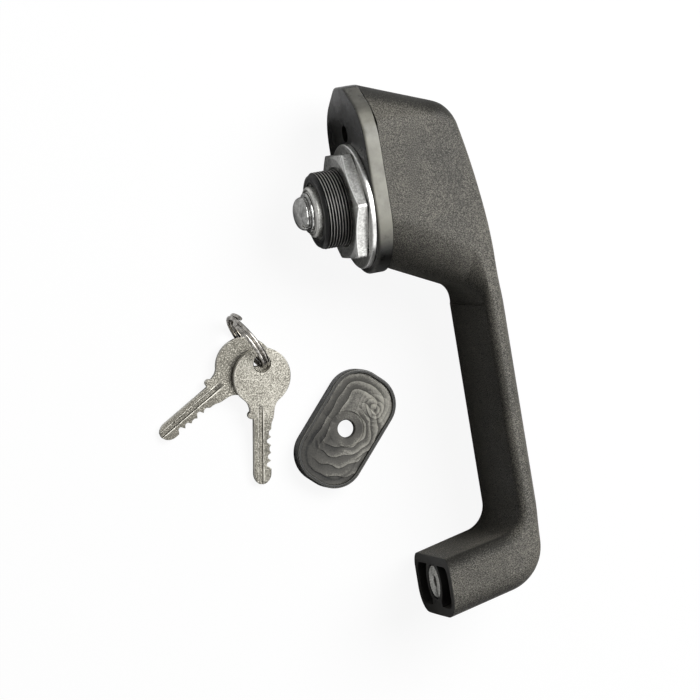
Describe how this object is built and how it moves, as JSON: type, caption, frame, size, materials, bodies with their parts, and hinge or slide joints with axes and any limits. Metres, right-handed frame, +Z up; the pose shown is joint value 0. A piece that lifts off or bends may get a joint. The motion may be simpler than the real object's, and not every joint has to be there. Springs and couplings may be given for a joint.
{
  "type": "door handle",
  "caption": "Moulded pull handle with a push-button key lock, a threaded clamp shank with nut and washer, a loose foot pad and keys on a split ring.",
  "frame": {"origin": "axis of the threaded shank at the door face of the head pad", "axes": "+X out from the door, +Y up along the grip, +Z up off the table that the set lies on"},
  "size_m": [0.1083, 0.1671, 0.04],
  "materials": {
    "grained_plastic": "charcoal moulded plastic with a fine grain",
    "black_plastic": "glossy black moulded pads",
    "black_steel": "black-finished threaded steel",
    "zinc_steel": "bright zinc plate",
    "grey_steel": "dull turned steel",
    "chrome": "polished plate",
    "button_plastic": "satin black button",
    "seal_rubber": "black seal ring",
    "lock_brass": "plain brass",
    "spring_steel": "drawn spring wire",
    "key_nickel": "stamped nickel silver",
    "ring_steel": "bright spring wire"
  },
  "bodies": {
    "handle": {"handle_body": "grained_plastic", "head_pad": "black_plastic", "foot_insert": "grey_steel", "lock_housing": "black_steel", "locating_pin": "grey_steel", "bezel_ring": "black_steel", "clamp_washer": "zinc_steel", "clamp_nut": "zinc_steel", "shank_end_cap": "grey_steel", "end_cap_circlip": "grey_steel"},
    "button": {"push_button": "button_plastic", "button_seal": "seal_rubber"},
    "plug": {"lock_plug": "lock_brass", "wafer_tumblers": "lock_brass", "plug_clip": "grey_steel", "drive_cam": "grey_steel"},
    "plunger": {"plunger_rod": "grey_steel", "plunger_tip": "chrome", "return_spring": "spring_steel"},
    "foot_pad": {"foot_pad": "black_plastic"},
    "key_ring": {"key_ring": "ring_steel"},
    "key_1": {"key_1": "key_nickel"},
    "key_2": {"key_2": "key_nickel"}
  },
  "joints": [
    {"name": "button_press", "type": "slide", "parent": "handle", "child": "button", "axis": [-1, 0, 0], "range_m": [0, 0.005], "stiffness_N_per_m": 800, "springref_m": -0.004},
    {"name": "lock_turn", "type": "hinge", "parent": "button", "child": "plug", "pos_m": [0.0362, 0, 0], "axis": [1, 0, 0], "range_deg": [0, 90]},
    {"name": "plunger_travel", "type": "slide", "parent": "handle", "child": "plunger", "axis": [-1, 0, 0], "range_m": [0, 0.005], "deforming": ["return_spring"]},
    {"name": "foot_pad_lift", "type": "slide", "parent": "handle", "child": "foot_pad", "axis": [0, 0, 1], "range_m": [0, 0.05]},
    {"name": "key_set_lift", "type": "slide", "parent": "handle", "child": "key_ring", "axis": [0, 0, 1], "range_m": [0, 0.05]},
    {"name": "key_1_swing", "type": "hinge", "parent": "key_ring", "child": "key_1", "pos_m": [-0.0357, -0.0421, -0.01658], "axis": [-0.0521, -0.0304, 0.9982], "range_deg": [-10, 10]},
    {"name": "key_2_swing", "type": "hinge", "parent": "key_ring", "child": "key_2", "pos_m": [-0.03473, -0.04396, -0.01329], "axis": [-0.0178, -0.145, 0.9893], "range_deg": [-10, 10]}
  ],
  "couplings": [
    {"joint": "plunger_travel", "follows": "button_press", "ratio": 1}
  ]
}
